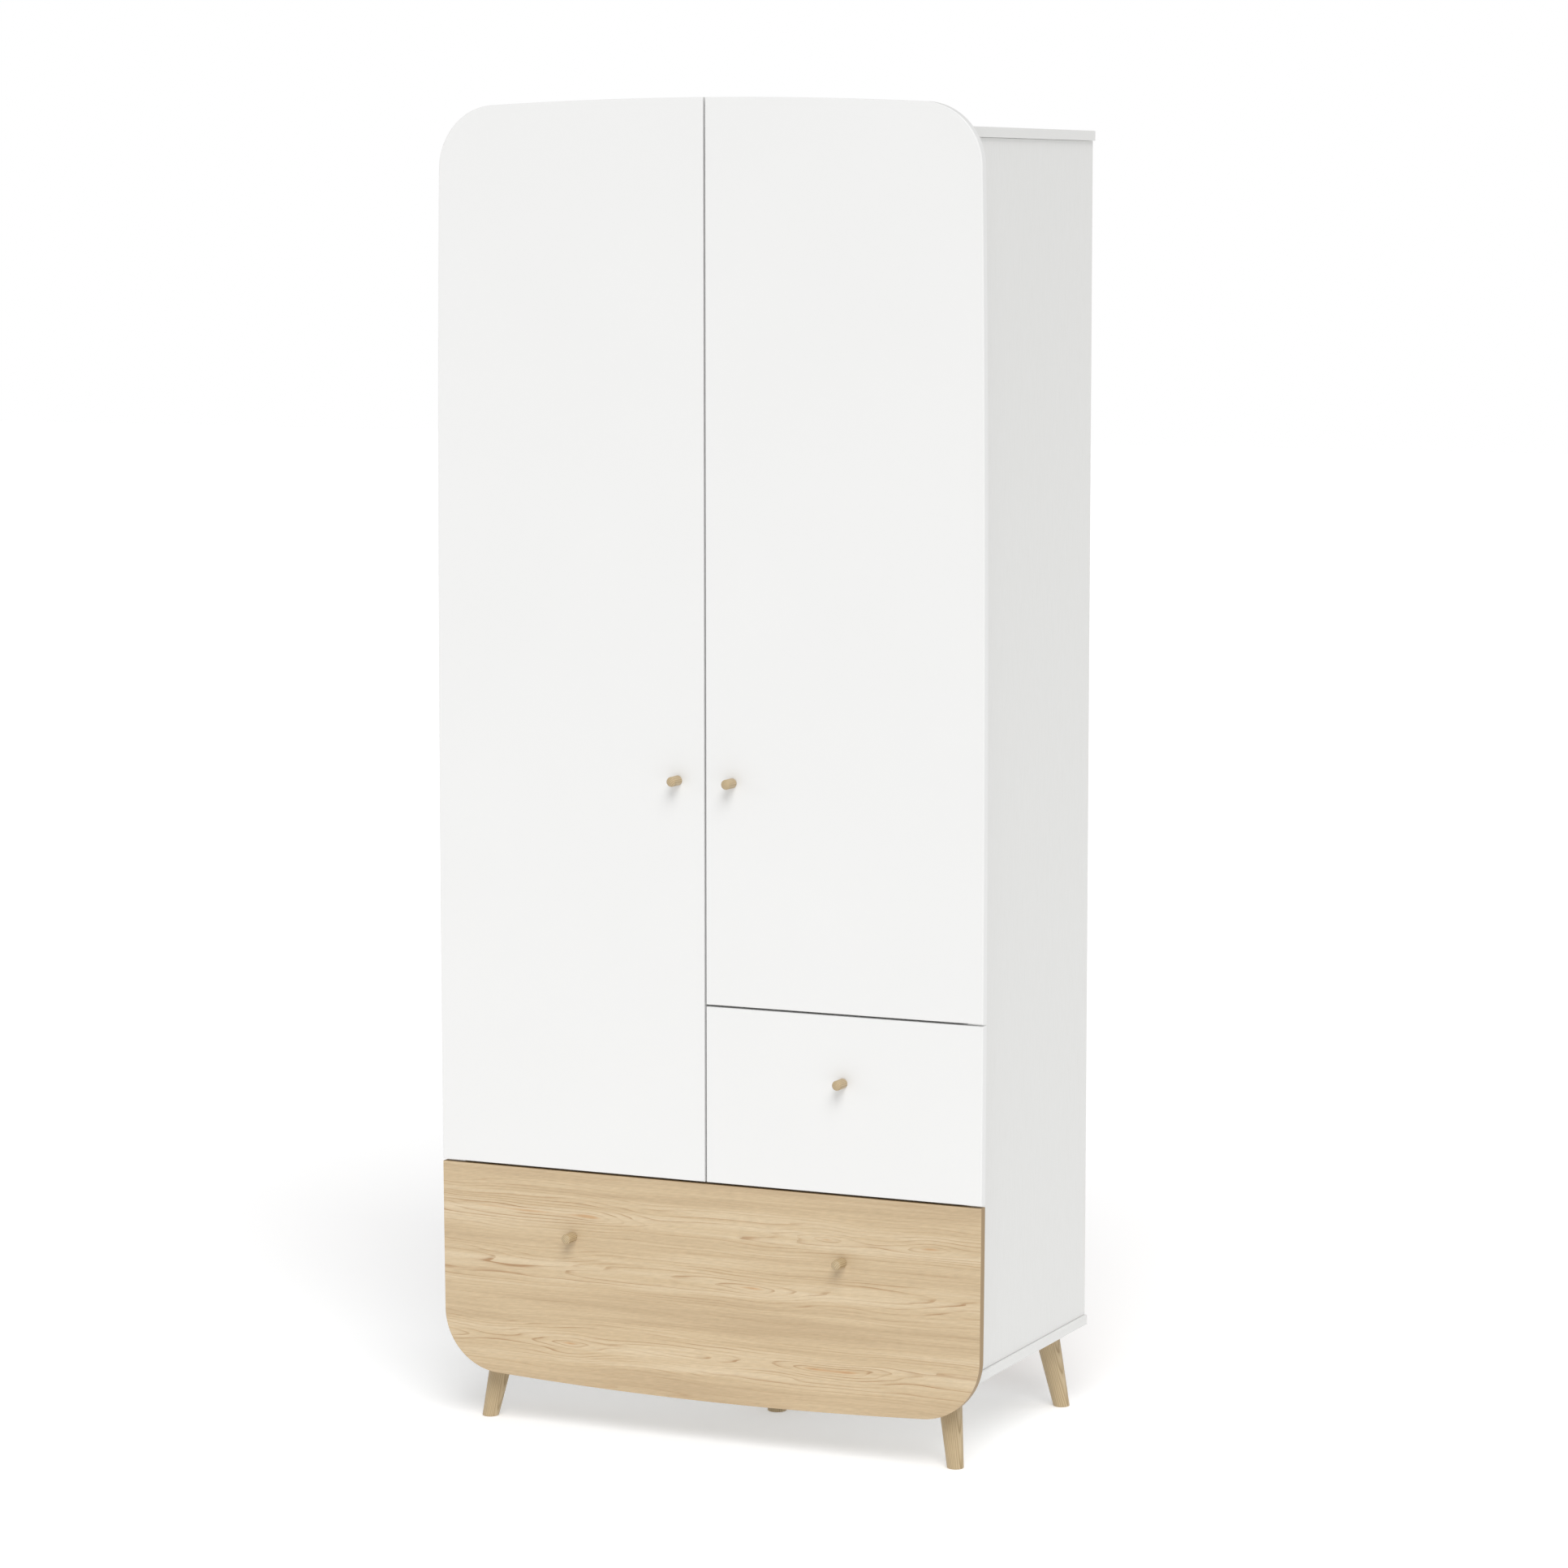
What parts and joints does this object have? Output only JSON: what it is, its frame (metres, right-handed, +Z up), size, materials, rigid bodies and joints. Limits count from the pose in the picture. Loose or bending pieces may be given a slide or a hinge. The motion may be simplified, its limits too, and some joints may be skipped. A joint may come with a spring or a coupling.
{
  "type": "wardrobe with doors",
  "caption": "Free-standing wardrobe: white hinged doors over one small and one wide wood-decor drawer, rounded proud fronts, peg knobs, splayed wooden legs.",
  "frame": {"origin": "on the floor, under the middle of the box that holds the whole wardrobe", "axes": "+X to the right as seen from the front, +Y from the doors to the back, +Z up"},
  "size_m": [0.9, 0.522, 2.024],
  "materials": {
    "white_lacquer": "satin white lacquer on fibreboard",
    "white_melamine": "white melamine-faced particleboard, fine embossed grain",
    "pine_decor": "matt pine decor, horizontal cathedral grain",
    "turned_pine": "clear-lacquered turned solid wood",
    "white_hardboard": "white-faced hardboard",
    "nickel_steel": "nickel-plated pressed steel",
    "white_steel": "white powder coat",
    "chrome_tube": "chromed steel tube"
  },
  "bodies": {
    "carcass": {"adjustable_shelf_lower": "white_melamine", "adjustable_shelf_upper": "white_melamine", "back_panel": "white_hardboard", "bottom_panel": "white_melamine", "centre_foot": "turned_pine", "centre_partition": "white_melamine", "drawer_deck": "white_melamine", "hanging_rail": "chrome_tube", "hat_shelf": "white_melamine", "large_drawer_runner_left_cabinet_member": "white_steel", "large_drawer_runner_right_cabinet_member": "white_steel", "left_hinge_bottom_carcass_leaf": "nickel_steel", "left_hinge_bottom_pin": "nickel_steel", "left_hinge_middle_carcass_leaf": "nickel_steel", "left_hinge_middle_pin": "nickel_steel", "left_hinge_top_carcass_leaf": "nickel_steel", "left_hinge_top_pin": "nickel_steel", "left_side_panel": "white_melamine", "leg_front_left": "turned_pine", "leg_front_right": "turned_pine", "leg_rear_left": "turned_pine", "leg_rear_right": "turned_pine", "right_hinge_bottom_carcass_leaf": "nickel_steel", "right_hinge_bottom_pin": "nickel_steel", "right_hinge_middle_carcass_leaf": "nickel_steel", "right_hinge_middle_pin": "nickel_steel", "right_hinge_top_carcass_leaf": "nickel_steel", "right_hinge_top_pin": "nickel_steel", "right_side_panel": "white_melamine", "small_drawer_runner_left_cabinet_member": "white_steel", "small_drawer_runner_right_cabinet_member": "white_steel", "small_drawer_shelf": "white_melamine", "top_panel": "white_melamine"},
    "left_door": {"left_door": "white_lacquer", "left_door_knob": "turned_pine", "left_hinge_bottom_door_leaf": "nickel_steel", "left_hinge_middle_door_leaf": "nickel_steel", "left_hinge_top_door_leaf": "nickel_steel"},
    "right_door": {"right_door": "white_lacquer", "right_door_knob": "turned_pine", "right_hinge_bottom_door_leaf": "nickel_steel", "right_hinge_middle_door_leaf": "nickel_steel", "right_hinge_top_door_leaf": "nickel_steel"},
    "small_drawer": {"small_drawer_back": "white_melamine", "small_drawer_bottom": "white_hardboard", "small_drawer_front": "white_lacquer", "small_drawer_knob": "turned_pine", "small_drawer_runner_left_drawer_member": "white_steel", "small_drawer_runner_right_drawer_member": "white_steel", "small_drawer_side_left": "white_melamine", "small_drawer_side_right": "white_melamine"},
    "large_drawer": {"large_drawer_back": "white_melamine", "large_drawer_bottom": "white_hardboard", "large_drawer_front": "pine_decor", "large_drawer_knob_left": "turned_pine", "large_drawer_knob_right": "turned_pine", "large_drawer_runner_left_drawer_member": "white_steel", "large_drawer_runner_right_drawer_member": "white_steel", "large_drawer_side_left": "white_melamine", "large_drawer_side_right": "white_melamine"}
  },
  "joints": [
    {"name": "left_door_hinge", "type": "hinge", "parent": "carcass", "child": "left_door", "pos_m": [-0.424, -0.2154, 1.2156], "axis": [0, 0, -1], "range_deg": [0, 95]},
    {"name": "right_door_hinge", "type": "hinge", "parent": "carcass", "child": "right_door", "pos_m": [0.424, -0.2154, 1.3507], "axis": [0, 0, 1], "range_deg": [0, 95]},
    {"name": "small_drawer_slide", "type": "slide", "parent": "carcass", "child": "small_drawer", "axis": [0, -1, 0], "range_m": [0, 0.3]},
    {"name": "large_drawer_slide", "type": "slide", "parent": "carcass", "child": "large_drawer", "axis": [0, -1, 0], "range_m": [0, 0.3]}
  ]
}
